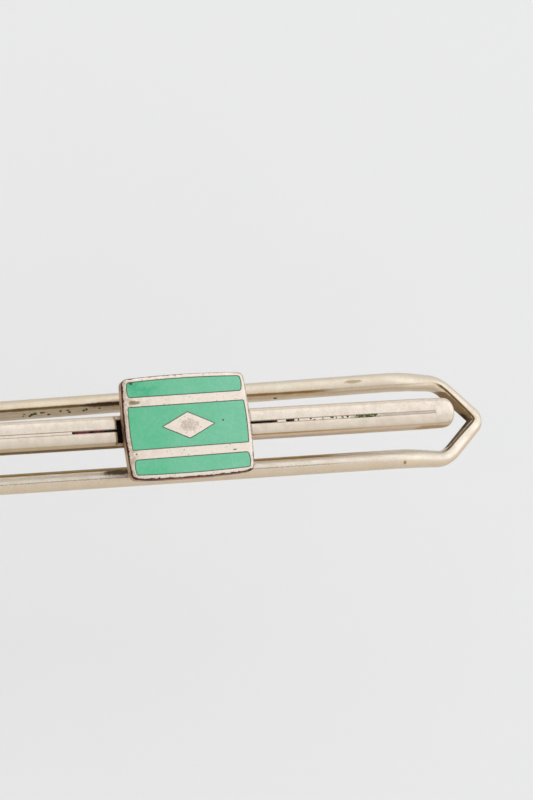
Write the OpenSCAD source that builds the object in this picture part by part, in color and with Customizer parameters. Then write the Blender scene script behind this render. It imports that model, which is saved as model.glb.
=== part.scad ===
// Tie bar: a grooved hollow bar with an enamelled plaque in front, and a sprung wire
// loop behind it that grips the tie. One wire makes the loop, the two U-bends and the
// two tails that are soldered to the back of the bar.
//
// Millimetres. X runs along the bar to the pointed end of the loop, Y across the bar,
// and Z from the back of the loop to the face of the plaque. The parts are drawn about
// the middle of the plaque's face and moved at the end, so that the origin is the
// centre of the whole object's base.

/* [Bar] */
// Width of the front bar, across both lobes
bar_w = 3.08; // [2.4:0.01:4]
// Thickness of the front bar
bar_t = 1.6; // [1.2:0.05:2.4]
// Length of the front bar
bar_len = 57; // [50:0.5:66]
// Depth of the bar's middle plane behind the plaque's face
bar_depth = 1.55; // [1.2:0.05:2.2]
// Thickness of the sheet that the bar is rolled from
bar_wall = 0.3; // [0.2:0.05:0.5]
// Radius of the rounded sides of the lobes
lobe_r = 0.9; // [0.81:0.01:1.2]
// Radius of the domed ends
end_r = 1.9; // [1.7:0.05:2.4]
// Half length of the groove between the lobes
groove_reach = 26.2; // [20:0.1:28]
// Width of the groove at the surface
groove_w = 0.34; // [0.2:0.02:0.6]
// Half length over which the groove is open into the bar
slit_reach = 11.4; // [8:0.1:16]
// Width of the open slit
slit_w = 0.16; // [0.1:0.02:0.3]
// How far to the left of the plaque's middle the lobes are cut away
relief_reach = 6.95; // [6.6:0.05:8]
// How far to the right of the plaque's middle the lobes are cut away
relief_right = 6.4; // [6.4:0.05:8]

/* [Plaque] */
// Length of the plaque between its corners
plaque_w = 12.4; // [10:0.1:15]
// Height of the plaque between its corners
plaque_h = 9.8; // [8:0.1:12]
// Thickness of the plaque
plaque_t = 1.44; // [1:0.02:2]
// How far each edge bows out at its middle
plaque_bow = 0.16; // [0:0.02:0.4]
// Radius of the plaque's corners
plaque_corner = 0.75; // [0.3:0.05:1.5]
// Angle that the plaque was soldered at, off the bar's line
plaque_turn = 0.7; // [-2:0.1:2]

/* [Enamel] */
// Depth of the enamel
enamel_t = 0.45; // [0.3:0.05:0.8]
// Length of the enamel fields between their corners
enamel_w = 11.5; // [9:0.1:12]
// Height of the centre field
centre_h = 4.18; // [3:0.02:5]
// Width of the metal strip between two fields
strip_w = 0.92; // [0.5:0.02:1.5]
// Height of the top and bottom bands
band_h = 1.5; // [1:0.02:2]
// Length of the metal diamond
diamond_w = 5.26; // [4:0.02:7]
// Height of the metal diamond
diamond_h = 2.56; // [1.5:0.02:3.5]

/* [Wire loop] */
// Radius of the wire along the rails
wire_r = 0.96; // [0.7:0.01:1.2]
// Radius of the wire at the pointed end
point_r = 0.8; // [0.6:0.01:1]
// Radius of the wire at its soldered tails
tail_r = 0.75; // [0.5:0.01:1]
// How far the loop sits off the bar's line, across it
loop_shift = -0.2; // [-0.5:0.05:0.5]
// Distance from the plaque's middle to the bent end of the rails
bend_x = 27.5; // [25:0.5:32]
// Distance from the plaque's middle to the pinch in the rails
pinch_x = 23.8; // [20:0.1:26]
// Distance from the plaque's middle to the shoulders of the point
shoulder_x = 29; // [27:0.1:32]
// Distance from the plaque's middle to the sharp end of the point
point_x = 33.4; // [31:0.1:38]
// Half the spacing of the rails at the bent end
bend_half = 3.47; // [2.8:0.01:4.5]
// Half the spacing of the rails at the pinch and the shoulders
shoulder_half = 3.95; // [3:0.01:5]
// Depth of the rails behind the plaque's face at the bent end
bend_depth = 6.54; // [5:0.01:8]
// Depth of the rails at the pinch
pinch_depth = 3.65; // [3.4:0.01:5]
// Depth of the rails at the shoulders
shoulder_depth = 6.1; // [4:0.05:7]
// Depth of the loop at the point
point_depth = 6.85; // [4:0.05:8]
// Length of the soldered tails
tail_len = 8; // [4:0.5:12]
// Depth of the seat that is pressed into the bar's back for the tails
seat_t = 0.1; // [0:0.02:0.15]

/* [Hidden] */
$fn = 64;
wire_sides = 24;
curve_steps = 8;
bend_steps = 20;
eps = 0.01;

bar_back = bar_depth + bar_t / 2;
seat_depth = bar_back - seat_t;
cavity_w = bar_w - 3 * bar_wall;
cavity_h = bar_t - 2 * bar_wall;
lobe_y = bar_w / 2 - lobe_r;
groove_r = 0.2;
groove_lift = sqrt(groove_r * groove_r - groove_w * groove_w / 4);

band_y = centre_h / 2 + strip_w + band_h / 2;
tail_y = tail_r + 0.02;
tail_depth = seat_depth + tail_r;

// Where the wire turns, for the upper (side = 1) and the lower (side = -1) half
function bend_point(side) = [-bend_x, loop_shift + side * bend_half, -bend_depth];
function pinch_point(side) = [pinch_x, loop_shift + side * shoulder_half, -pinch_depth];
function shoulder_point(side) = [shoulder_x, loop_shift + side * shoulder_half, -shoulder_depth];
sharp_point = [point_x, loop_shift, -point_depth];
function tail_point(side) = [-bend_x, side * tail_y, -tail_depth];

function unit(v) = v / norm(v);

// A rounded corner at v on the way from a to b, as a quadratic curve
function corner(a, v, b, trim) =
    let (p = v + trim * unit(a - v), q = v + trim * unit(b - v))
    [for (i = [0:curve_steps]) let (s = i / curve_steps)
        (1 - s) * (1 - s) * p + 2 * s * (1 - s) * v + s * s * q];

// The wire thins evenly from the pinch to the shoulders
function loop_radius(x) =
    let (s = (x - pinch_x) / (shoulder_x - pinch_x))
    wire_r + (point_r - wire_r) * min(1, max(0, s));

loop_path = concat(
    [bend_point(1)],
    corner(bend_point(1), pinch_point(1), shoulder_point(1), 2),
    corner(pinch_point(1), shoulder_point(1), sharp_point, 1.4),
    corner(shoulder_point(1), sharp_point, shoulder_point(-1), 1),
    corner(sharp_point, shoulder_point(-1), pinch_point(-1), 1.4),
    corner(shoulder_point(-1), pinch_point(-1), bend_point(-1), 2),
    [bend_point(-1)]
);

// A half turn from a rail's end to its tail. It leaves the rail along the rail's own
// slope, and the slope has died away by the time it reaches the tail.
function bend_path(side) =
    let (
        from = bend_point(side),
        to = tail_point(side),
        half = (to - from) / 2,
        r = norm(half),
        rail = pinch_point(side) - from,
        slope = [0, rail.y, rail.z] / rail.x
    )
    [for (i = [0:bend_steps]) let (q = 180 * i / bend_steps)
        (from + to) / 2 - half * cos(q) - [r, 0, 0] * sin(q)
        - slope * r * sin(q) * (1 + cos(q)) / 2];

function bend_radii() = [for (i = [0:bend_steps]) wire_r + (tail_r - wire_r) * i / bend_steps];

// The directions along a path, with the two end directions given
function directions(path, first, last) =
    [for (i = [0:len(path) - 1])
        i == 0 ? unit(first)
        : i == len(path) - 1 ? unit(last)
        : unit(unit(path[i + 1] - path[i]) + unit(path[i] - path[i - 1]))];

function ring(centre, along, ref, r) =
    let (a = unit(ref - (ref * along) * along), b = cross(along, a))
    [for (k = [0:wire_sides - 1]) let (q = 360 * k / wire_sides)
        centre + r * (cos(q) * a + sin(q) * b)];

// The box around the whole object, which sets the origin
x_low = min([for (i = [0:bend_steps]) bend_path(-1)[i].x - bend_radii()[i]]);
x_high = max([for (p = loop_path) p.x + loop_radius(p.x)]);
z_low = min([for (p = loop_path) p.z - loop_radius(p.x)]);
centre_shift = [-(x_low + x_high) / 2, 0, -z_low];

silver = [0.84, 0.79, 0.72];
enamel_green = [0.43, 0.77, 0.59];
solder_grey = [0.55, 0.53, 0.5];

// A wire along a path, with a radius for each point
module swept_wire(path, radii, first, last, ref) {
    along = directions(path, first, last);
    points = [for (i = [0:len(path) - 1]) each ring(path[i], along[i], ref, radii[i])];
    end = (len(path) - 1) * wire_sides;
    caps = [
        [for (k = [0:wire_sides - 1]) k],
        [for (k = [wire_sides - 1:-1:0]) end + k]
    ];
    walls = [for (i = [0:len(path) - 2], k = [0:wire_sides - 1])
        let (a = i * wire_sides + k, b = i * wire_sides + (k + 1) % wire_sides)
        each [[a, a + wire_sides, b + wire_sides], [a, b + wire_sides, b]]];
    polyhedron(points, concat(caps, walls), convexity = 6);
}

// A rectangle whose edges bow outward, with rounded corners. A bow is how far one edge
// stands out at its middle: [right, top, left, bottom].
function bowed_outline(w, h, bow, r) =
    let (c = [[w, -h] / 2, [w, h] / 2, [-w, h] / 2, [-w, -h] / 2])
    [for (i = [0:3])
        let (
            from = c[i],
            to = c[(i + 1) % 4],
            next = c[(i + 2) % 4],
            dir = unit(to - from),
            out = [dir.y, -dir.x],
            a = from + r * dir,
            b = to - r * dir
        )
        each concat(
            [for (k = [0:curve_steps]) let (s = k / curve_steps)
                a + (b - a) * s + out * bow[i] * 4 * s * (1 - s)],
            [for (k = [1:3]) let (s = k / 4)
                (1 - s) * (1 - s) * b + 2 * s * (1 - s) * to
                + s * s * (to + r * unit(next - to))]
        )];

module enamel_shape(field) {
    if (field == "top") {
        translate([0, band_y])
            polygon(bowed_outline(enamel_w, band_h, [0.06, 0.14, 0.06, 0], 0.35));
    }
    if (field == "centre") {
        difference() {
            polygon(bowed_outline(enamel_w + 0.2, centre_h, [0.08, 0, 0.08, 0], 0.15));
            polygon([[diamond_w / 2, 0], [0, diamond_h / 2], [-diamond_w / 2, 0],
                [0, -diamond_h / 2]]);
        }
    }
    if (field == "bottom") {
        translate([0, -band_y])
            polygon(bowed_outline(enamel_w, band_h, [0.06, 0, 0.06, 0.1], 0.35));
    }
}

module enamel(field) {
    rotate([0, 0, plaque_turn])
        translate([0, 0, -enamel_t])
            linear_extrude(enamel_t)
                enamel_shape(field);
}

module in_place() {
    translate(centre_shift)
        children();
}

module bar_blank() {
    flat = bar_t / 2;
    intersection() {
        union() {
            for (side = [-1, 1])
                translate([-bar_len / 2, side * lobe_y, 0])
                    rotate([0, 90, 0])
                        cylinder(r = lobe_r, h = bar_len);
            translate([-bar_len / 2, -lobe_y, -1])
                cube([bar_len, 2 * lobe_y, 2]);
        }
        translate([-bar_len / 2 - 1, -bar_w, -flat])
            cube([bar_len + 2, 2 * bar_w, bar_t]);
        union() {
            translate([-bar_len / 2 + end_r, -bar_w, -bar_t])
                cube([bar_len - 2 * end_r, 2 * bar_w, 2 * bar_t]);
            for (side = [-1, 1])
                translate([side * (bar_len / 2 - end_r), 0, -0.3])
                    sphere(r = end_r);
        }
    }
}

module front_bar() {
    flat = bar_t / 2;
    color(silver)
        in_place()
            translate([0, 0, -bar_depth])
                difference() {
                    bar_blank();
                    // The hollow inside the rolled sheet
                    translate([-bar_len / 2 + end_r, -cavity_w / 2, -cavity_h / 2])
                        cube([bar_len - 2 * end_r, cavity_w, cavity_h]);
                    // The groove between the lobes
                    translate([-groove_reach, 0, flat + groove_lift])
                        rotate([0, 90, 0])
                            cylinder(r = groove_r, h = 2 * groove_reach);
                    // The open slit on both sides of the plaque
                    translate([-slit_reach, -slit_w / 2, 0])
                        cube([2 * slit_reach, slit_w, bar_t]);
                    // The seat for the tails in the bar's back
                    translate([-bar_len / 2 - 1, -bar_w, -flat - 1])
                        cube([bar_len / 2 - bend_x + tail_len + 1.3, 2 * bar_w, 1 + seat_t]);
                    // The lobes are cut away under the plaque
                    translate([-relief_reach, -bar_w, bar_depth - plaque_t])
                        cube([relief_reach + relief_right, 2 * bar_w, bar_t]);
                }
}

module plaque_plate() {
    color(silver)
        in_place()
            difference() {
                rotate([0, 0, plaque_turn])
                    translate([0, 0, -plaque_t])
                        linear_extrude(plaque_t)
                            polygon(bowed_outline(plaque_w, plaque_h,
                                [1, 1, 1, 1] * plaque_bow, plaque_corner));
                for (field = ["top", "centre", "bottom"])
                    rotate([0, 0, plaque_turn])
                        translate([0, 0, -enamel_t])
                            linear_extrude(enamel_t + 1)
                                enamel_shape(field);
            }
}

module enamel_top_band() {
    color(enamel_green)
        in_place()
            enamel("top");
}

module enamel_centre_field() {
    color(enamel_green)
        in_place()
            enamel("centre");
}

module enamel_bottom_band() {
    color(enamel_green)
        in_place()
            enamel("bottom");
}

// The solder that fills the top of the open trough under the plaque
module plaque_solder() {
    depth = 0.35;
    color(solder_grey)
        in_place()
            translate([-5.4, -cavity_w / 2, -plaque_t - depth])
                cube([10.8, cavity_w, depth]);
}

module tail(side, r) {
    nose = 0.3;
    translate(tail_point(side))
        rotate([0, 90, 0]) {
            cylinder(r = r, h = tail_len - nose);
            translate([0, 0, tail_len - nose])
                cylinder(r1 = r, r2 = r - nose, h = nose);
        }
}

module wire_tails() {
    color(silver)
        in_place()
            for (side = [-1, 1])
                tail(side, tail_r);
}

// The solder in the valley between the two tails and the back of the bar
module tail_solder() {
    valley = 0.62;
    color(solder_grey)
        in_place()
            difference() {
                translate([-bend_x + 0.4, -valley, -seat_depth - valley])
                    cube([tail_len - 0.9, 2 * valley, valley]);
                for (side = [-1, 1])
                    translate([-bend_x, side * tail_y, -tail_depth])
                        rotate([0, 90, 0])
                            cylinder(r = tail_r + eps / 2, h = tail_len);
            }
}

module spring_bends() {
    color(silver)
        in_place()
            for (side = [-1, 1])
                swept_wire(bend_path(side), bend_radii(),
                    bend_point(side) - pinch_point(side), [1, 0, 0],
                    cross(tail_point(side) - bend_point(side), [1, 0, 0]));
}

module wire_loop() {
    color(silver)
        in_place()
            swept_wire(loop_path, [for (p = loop_path) loop_radius(p.x)],
                pinch_point(1) - bend_point(1), bend_point(-1) - pinch_point(-1),
                [0, 0, 1]);
}

front_bar();
plaque_plate();
enamel_top_band();
enamel_centre_field();
enamel_bottom_band();
plaque_solder();
wire_tails();
tail_solder();
spring_bends();
wire_loop();
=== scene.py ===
"""A worn tie bar: a grooved bar with an enamelled plaque, and a sprung wire loop behind it.

Lengths inside the classes are millimetres, counted from the middle of the plaque's face:
X runs along the bar to the loop's point, Y across it, and Z towards the viewer.
"""
import logging
import math
from dataclasses import dataclass, field
from enum import Enum
from typing import Callable, Sequence

import bmesh
import bpy
from mathutils import Matrix, Vector, noise
from mathutils.geometry import delaunay_2d_cdt


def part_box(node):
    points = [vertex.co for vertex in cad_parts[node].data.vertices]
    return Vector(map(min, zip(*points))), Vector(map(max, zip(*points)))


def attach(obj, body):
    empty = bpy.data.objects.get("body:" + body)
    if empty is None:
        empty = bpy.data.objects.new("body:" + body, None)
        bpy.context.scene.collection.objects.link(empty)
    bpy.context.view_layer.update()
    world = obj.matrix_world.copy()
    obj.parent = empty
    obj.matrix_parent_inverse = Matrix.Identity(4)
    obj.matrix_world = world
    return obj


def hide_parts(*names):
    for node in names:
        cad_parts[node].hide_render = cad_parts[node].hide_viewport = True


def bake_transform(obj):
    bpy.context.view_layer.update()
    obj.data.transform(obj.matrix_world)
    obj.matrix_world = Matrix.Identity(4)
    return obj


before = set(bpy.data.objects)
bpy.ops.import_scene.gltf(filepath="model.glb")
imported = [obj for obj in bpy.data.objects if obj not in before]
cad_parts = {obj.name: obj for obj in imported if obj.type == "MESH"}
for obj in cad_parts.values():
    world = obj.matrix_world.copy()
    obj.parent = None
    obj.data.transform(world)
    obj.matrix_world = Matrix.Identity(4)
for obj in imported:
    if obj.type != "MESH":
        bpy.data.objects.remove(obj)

MM = 0.001
MERGE = 1e-7            # metres; points nearer than this are one
METAL_BUMP = 0.000008   # metres; what a height of 1 stands for on the plated pieces
LOG = logging.getLogger("tie_bar")

Colour = tuple[float, float, float]
Outline = list[Vector]


class Slot(Enum):
    """The record's finishes, one for each kind of material on the object."""

    BAR = "bar_metal"
    PLAQUE = "plaque_metal"
    ENAMEL = "enamel"
    SOLDER = "solder"
    WIRE = "wire_metal"


class Body(Enum):
    """The two bodies that the hinge joins."""

    BAR = "bar"
    LOOP = "loop"


class Side(Enum):
    """The two halves of the wire, by which way they lie across the bar."""

    UPPER = 1
    LOWER = -1


def smooth(low: float, high: float, value: float) -> float:
    """Ease from 0 at low to 1 at high.

    Args:
        low: Where the ease starts.
        high: Where it ends; it may lie below low.
        value: The place to read.

    Returns:
        A number from 0 to 1.
    """
    share = min(1.0, max(0.0, (value - low) / (high - low)))
    return share * share * (3 - 2 * share)


def ripple(x: float, y: float, size: float) -> float:
    """Give the small unevenness of a hand-finished surface.

    Args:
        x: Place along the bar, in millimetres.
        y: Place across it.
        size: Largest height of the unevenness.

    Returns:
        A height in the unit of size.
    """
    return size * noise.noise(Vector((0.35 * x + 7.1, 1.3 * y - 2.4, 0.6)))


def show(name: str, data: bpy.types.ID) -> bpy.types.Object:
    """Put some data in the scene as an object."""
    made = bpy.data.objects.new(name, data)
    bpy.context.scene.collection.objects.link(made)
    return made


def settle(mesh: bpy.types.Mesh, angle: float, merge: bool = False) -> None:
    """Turn a mesh's faces outward, smooth it and keep its creases.

    Args:
        mesh: The mesh.
        angle: The largest angle, in degrees, over which shading stays smooth.
        merge: Whether points at one place become one first.
    """
    work = bmesh.new()
    work.from_mesh(mesh)
    if merge:
        bmesh.ops.remove_doubles(work, verts=work.verts, dist=MERGE)
    bmesh.ops.recalc_face_normals(work, faces=work.faces)
    work.to_mesh(mesh)
    work.free()
    mesh.shade_smooth()
    mesh.set_sharp_from_angle(angle=math.radians(angle))


@dataclass(frozen=True)
class Origin:
    """The middle of the plaque's face in the part's frame, in metres."""

    centre: Vector

    @classmethod
    def from_frame(cls) -> "Origin":
        """Read the place from the plaque's own box."""
        low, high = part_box("plaque_plate")
        return cls(Vector(((low.x + high.x) / 2, (low.y + high.y) / 2, high.z)))

    def place(self, point: Sequence[float]) -> Vector:
        """Turn millimetres from the plaque's middle into metres in the part's frame."""
        return self.centre + MM * Vector(point)


# ---------------------------------------------------------------------------- meshes


class Piece:
    """One mesh in the making: its points, faces and named values for its points."""

    def __init__(self, name: str, origin: Origin) -> None:
        """Start an empty piece.

        Args:
            name: The name that its object gets.
            origin: Where the millimetre points are counted from.
        """
        self.name = name
        self.origin = origin
        self.points: list[Vector] = []
        self.faces: list[tuple[int, ...]] = []
        self.values: dict[str, list[float]] = {}

    def add(self, point: Sequence[float], **values: float) -> int:
        """Add a point with its named values.

        Args:
            point: Millimetres from the plaque's middle.
            **values: Named values for the point; one left out is 0.

        Returns:
            The point's number.
        """
        self.points.append(Vector(point))
        for key in set(values) | set(self.values):
            row = self.values.setdefault(key, [0.0] * (len(self.points) - 1))
            row.append(values.get(key, 0.0))
        return len(self.points) - 1

    def skin(self, rings: Sequence[Sequence[int]], close: bool = True) -> None:
        """Join rings of points into a skin.

        Args:
            rings: The point numbers of each ring, all of one length.
            close: Whether each ring's last point joins its first.
        """
        count = len(rings[0])
        for one, two in zip(rings, rings[1:]):
            for k in range(count if close else count - 1):
                n = (k + 1) % count
                self.faces.append((one[k], one[n], two[n], two[k]))

    def cap(self, ring: Sequence[int], tip: Sequence[float], **values: float) -> None:
        """Close a ring with a fan to one point."""
        pole = self.add(tip, **values)
        for k, start in enumerate(ring):
            self.faces.append((start, ring[(k + 1) % len(ring)], pole))

    def build(self, angle: float, finish: bpy.types.Material) -> bpy.types.Object:
        """Make the object, with its normals outward and its creases kept.

        Args:
            angle: The largest angle, in degrees, over which shading stays smooth.
            finish: Its material.

        Returns:
            The object, at the origin with its place in its mesh.
        """
        mesh = bpy.data.meshes.new(self.name)
        mesh.from_pydata([self.origin.place(p) for p in self.points], [], self.faces)
        for key, row in self.values.items():
            mesh.attributes.new(key, "FLOAT", "POINT").data.foreach_set("value", row)
        settle(mesh, angle, merge=True)
        mesh.materials.append(finish)
        return show(self.name, mesh)


def bowed_outline(width: float, height: float, bows: Sequence[float], corner: float,
                  steps: int = 26) -> Outline:
    """Draw a rectangle whose edges bow outward, with rounded corners.

    Args:
        width: Length between the corners.
        height: Height between the corners.
        bows: How far the right, top, left and bottom edges stand out at their middles.
        corner: How far the rounding reaches along each edge.
        steps: Points along each edge.

    Returns:
        The outline, anticlockwise.
    """
    half = Vector((width / 2, height / 2))
    corners = [Vector((sx * half.x, sy * half.y)) for sx, sy in
               ((1, -1), (1, 1), (-1, 1), (-1, -1))]
    outline = []
    for i in range(4):
        start, end, after = corners[i], corners[(i + 1) % 4], corners[(i + 2) % 4]
        along = (end - start).normalized()
        out = Vector((along.y, -along.x))
        a, b = start + corner * along, end - corner * along
        turn = end + corner * (after - end).normalized()
        for k in range(steps + 1):
            s = k / steps
            outline.append(a.lerp(b, s) + out * bows[i] * 4 * s * (1 - s))
        for k in range(1, 8):
            s = k / 8
            outline.append((1 - s) ** 2 * b + 2 * s * (1 - s) * end + s * s * turn)
    return outline


def inset(outline: Outline, distance: float) -> Outline:
    """Move an anticlockwise outline inward by a distance."""
    moved = []
    for i, point in enumerate(outline):
        along = outline[(i + 1) % len(outline)] - outline[i - 1]
        moved.append(point + distance * Vector((-along.y, along.x)).normalized())
    return moved


def is_inside(point: Vector, outline: Outline) -> bool:
    """Tell whether a point lies inside an outline."""
    found = False
    for a, b in zip(outline, outline[1:] + outline[:1]):
        if (a.y > point.y) != (b.y > point.y):
            if point.x < a.x + (point.y - a.y) * (b.x - a.x) / (b.y - a.y):
                found = not found
    return found


def edge_distance(point: Vector, outlines: Sequence[Outline]) -> float:
    """Measure how far a point is from the nearest of some outlines."""
    best = 1e9
    for outline in outlines:
        for a, b in zip(outline, outline[1:] + outline[:1]):
            step = b - a
            share = (point - a).dot(step) / max(step.length_squared, 1e-12)
            near = a + min(1.0, max(0.0, share)) * step
            best = min(best, (point - near).length)
    return best


@dataclass
class Sheet:
    """A flat region filled with triangles: its points and which triangles they make."""

    points: list[Vector]
    triangles: list[tuple[int, ...]]

    @classmethod
    def fill(cls, rims: Sequence[Outline], guides: Sequence[Outline],
             holds: Callable[[Vector], bool], spacing: float) -> "Sheet":
        """Fill a region that some outlines bound.

        Args:
            rims: The outlines that bound it.
            guides: Outlines inside it that the triangles also follow.
            holds: Tells whether a point is in the region.
            spacing: Distance between the points that fill its middle.

        Returns:
            The filled region.
        """
        loops = [*rims, *guides]
        points, edges = [], []
        for loop in loops:
            first = len(points)
            points += loop
            edges += [(first + k, first + (k + 1) % len(loop)) for k in range(len(loop))]
        xs = [p.x for p in points]
        ys = [p.y for p in points]
        for i in range(int((max(xs) - min(xs)) / spacing)):
            for j in range(int((max(ys) - min(ys)) / spacing)):
                shift = 0.5 * (j % 2)
                spot = Vector((min(xs) + spacing * (i + shift), min(ys) + spacing * (j + 0.5)))
                if holds(spot) and edge_distance(spot, loops) > 0.45 * spacing:
                    points.append(spot)
        made, _, faces, _, _, _ = delaunay_2d_cdt(points, edges, [], 0, 1e-6)
        kept = [f for f in faces if holds(sum((made[i] for i in f), Vector((0, 0))) / 3)]
        return cls(list(made), [tuple(f) for f in kept])


# ---------------------------------------------------------------------- node trees


class Wires:
    """Short ways to place and join nodes in a tree."""

    def __init__(self, tree: bpy.types.NodeTree) -> None:
        """Work on one tree."""
        self.tree = tree

    def node(self, kind: str, **settings: object) -> bpy.types.Node:
        """Place a node and set its properties."""
        made = self.tree.nodes.new(kind)
        for key, value in settings.items():
            setattr(made, key, value)
        return made

    def put(self, value: object, socket: bpy.types.NodeSocket) -> None:
        """Give a socket a number, a colour or another node's output."""
        if isinstance(value, bpy.types.NodeSocket):
            self.tree.links.new(value, socket)
        elif isinstance(value, tuple) and socket.type == "RGBA":
            socket.default_value = (*value, 1.0)
        else:
            socket.default_value = value

    def step(self, kind: str, given: dict[object, object], **settings: object
             ) -> bpy.types.NodeSocket:
        """Place a node, set its properties and inputs, and give its first output."""
        made = self.node(kind, **settings)
        for key, value in given.items():
            self.put(value, made.inputs[key])
        return made.outputs[0]

    def close(self, grown: bpy.types.NodeSocket, coat: bpy.types.NodeSocket, name: str) -> None:
        """End a geometry tree: make instances real, dress the mesh and give it out."""
        real = self.step("GeometryNodeRealizeInstances", {"Geometry": grown})
        dressed = self.step("GeometryNodeSetMaterial", {"Geometry": real, "Material": coat})
        self.put(dressed, self.node("NodeGroupOutput").inputs[name])

    def math(self, operation: str, *values: object) -> bpy.types.NodeSocket:
        """Work out a number from one to three others."""
        made = self.node("ShaderNodeMath", operation=operation)
        for value, socket in zip(values, made.inputs):
            self.put(value, socket)
        return made.outputs[0]

    def times(self, *values: object) -> bpy.types.NodeSocket:
        """Multiply numbers, from the first on."""
        made = values[0]
        for value in values[1:]:
            made = self.math("MULTIPLY", made, value)
        return made

    def most(self, *values: object) -> bpy.types.NodeSocket:
        """Take the largest of two numbers."""
        return self.math("MAXIMUM", *values)

    def over(self, colour: object, shade: object, *masks: object) -> bpy.types.NodeSocket:
        """Lay a shade over a colour as far as all the masks let it."""
        return self.mix(self.times(*masks), colour, shade)

    def ease(self, value: object, low: float, high: float, out_low: float = 0.0,
             out_high: float = 1.0) -> bpy.types.NodeSocket:
        """Ease a number from one range to another.

        Args:
            value: The number to ease.
            low: Where the ease starts.
            high: Where it ends.
            out_low: What it gives at low.
            out_high: What it gives at high.

        Returns:
            The eased number.
        """
        made = self.node("ShaderNodeMapRange", interpolation_type="SMOOTHSTEP")
        for given, socket in zip((value, low, high, out_low, out_high), made.inputs):
            self.put(given, socket)
        return made.outputs[0]

    def mix(self, share: object, one: object, two: object) -> bpy.types.NodeSocket:
        """Mix two colours by a share."""
        made = self.node("ShaderNodeMix", data_type="RGBA")
        self.put(share, made.inputs[0])
        self.put(one, made.inputs[6])
        self.put(two, made.inputs[7])
        return made.outputs[2]

    def place(self) -> bpy.types.NodeSocket:
        """Read the place on the object, in metres."""
        return self.node("ShaderNodeTexCoord").outputs["Object"]

    def split(self, vector: bpy.types.NodeSocket) -> Sequence[bpy.types.NodeSocket]:
        """Split a vector into its three numbers."""
        made = self.node("ShaderNodeSeparateXYZ")
        self.put(vector, made.inputs[0])
        return made.outputs

    def value(self, key: str) -> bpy.types.NodeSocket:
        """Read one of the mesh's own named numbers."""
        return self.node("ShaderNodeAttribute", attribute_name=key).outputs["Fac"]

    def grain(self, place: bpy.types.NodeSocket, scale: object, detail: float = 4.0,
              roughness: float = 0.6) -> bpy.types.NodeSocket:
        """Make noise of a scale in features a metre."""
        made = self.node("ShaderNodeTexNoise")
        self.put(place, made.inputs["Vector"])
        self.put(scale, made.inputs["Scale"])
        made.inputs["Detail"].default_value = detail
        made.inputs["Roughness"].default_value = roughness
        return made.outputs[0]

    def group(self, tree: bpy.types.NodeTree, **values: object) -> bpy.types.NodeOutputs:
        """Place a node group with its own values, named with _ for spaces."""
        made = self.node("ShaderNodeGroup", node_tree=tree)
        for key, value in values.items():
            self.put(value, made.inputs[key.replace("_", " ")])
        return made.outputs


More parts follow.
